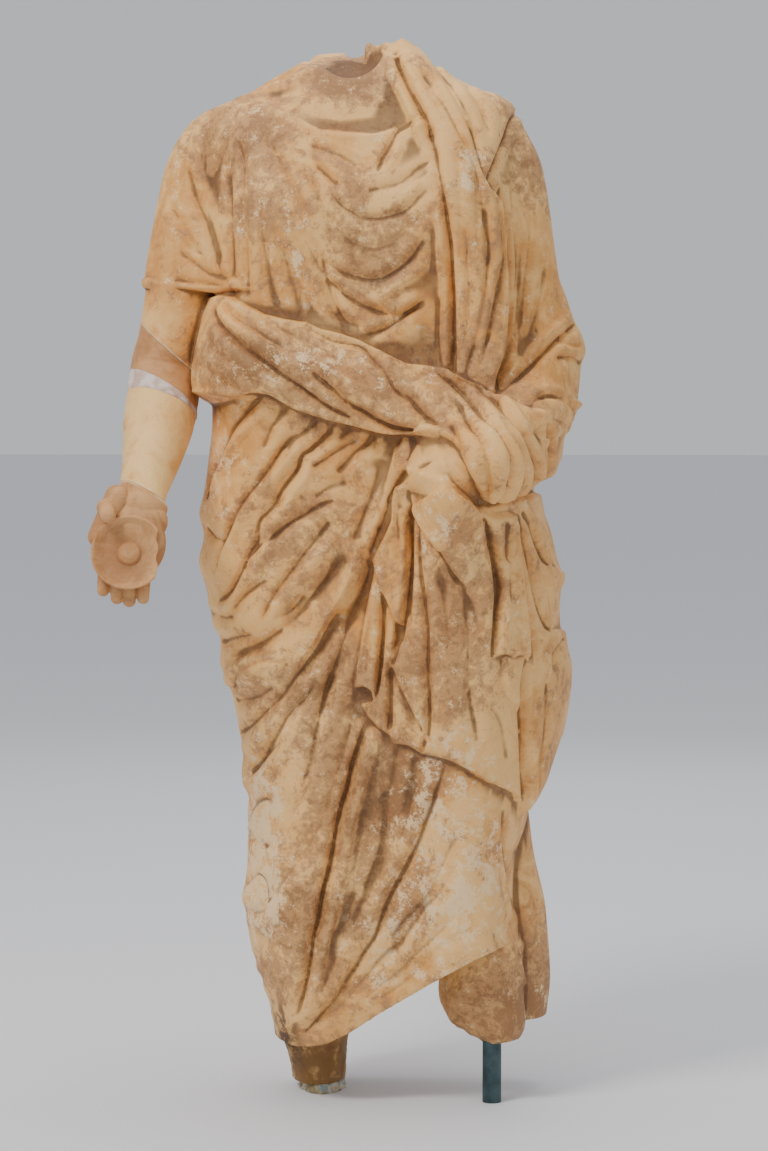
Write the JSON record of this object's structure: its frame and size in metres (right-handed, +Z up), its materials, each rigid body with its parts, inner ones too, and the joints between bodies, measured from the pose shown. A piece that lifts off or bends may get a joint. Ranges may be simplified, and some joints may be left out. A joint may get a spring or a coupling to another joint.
{
  "type": "headless draped stone statue",
  "caption": "Life-size headless draped marble figure with a refitted right arm that holds a broken shallow bowl, on one ankle and a steel rod.",
  "frame": {"origin": "middle of the ankle bed's underside, on the surface the figure stands on", "axes": "+Z up, -Y the way the figure looks, -X the side of its own right arm"},
  "size_m": [0.6893, 0.4189, 1.5114],
  "materials": {
    "statue": "weathered, matt",
    "elbow_fragment": "weathered, matt",
    "plaster_fill": "trowelled, matt",
    "forearm": "smooth, matt",
    "hand_with_patera": "weathered, matt",
    "ankle_mortar": "rough, matt",
    "support_rod": "dark, satin"
  },
  "bodies": {
    "root": {"statue": "statue", "elbow_fragment": "elbow_fragment", "plaster_fill": "plaster_fill", "forearm": "forearm", "hand_with_patera": "hand_with_patera", "ankle_mortar": "ankle_mortar", "support_rod": "support_rod"}
  },
  "joints": []
}
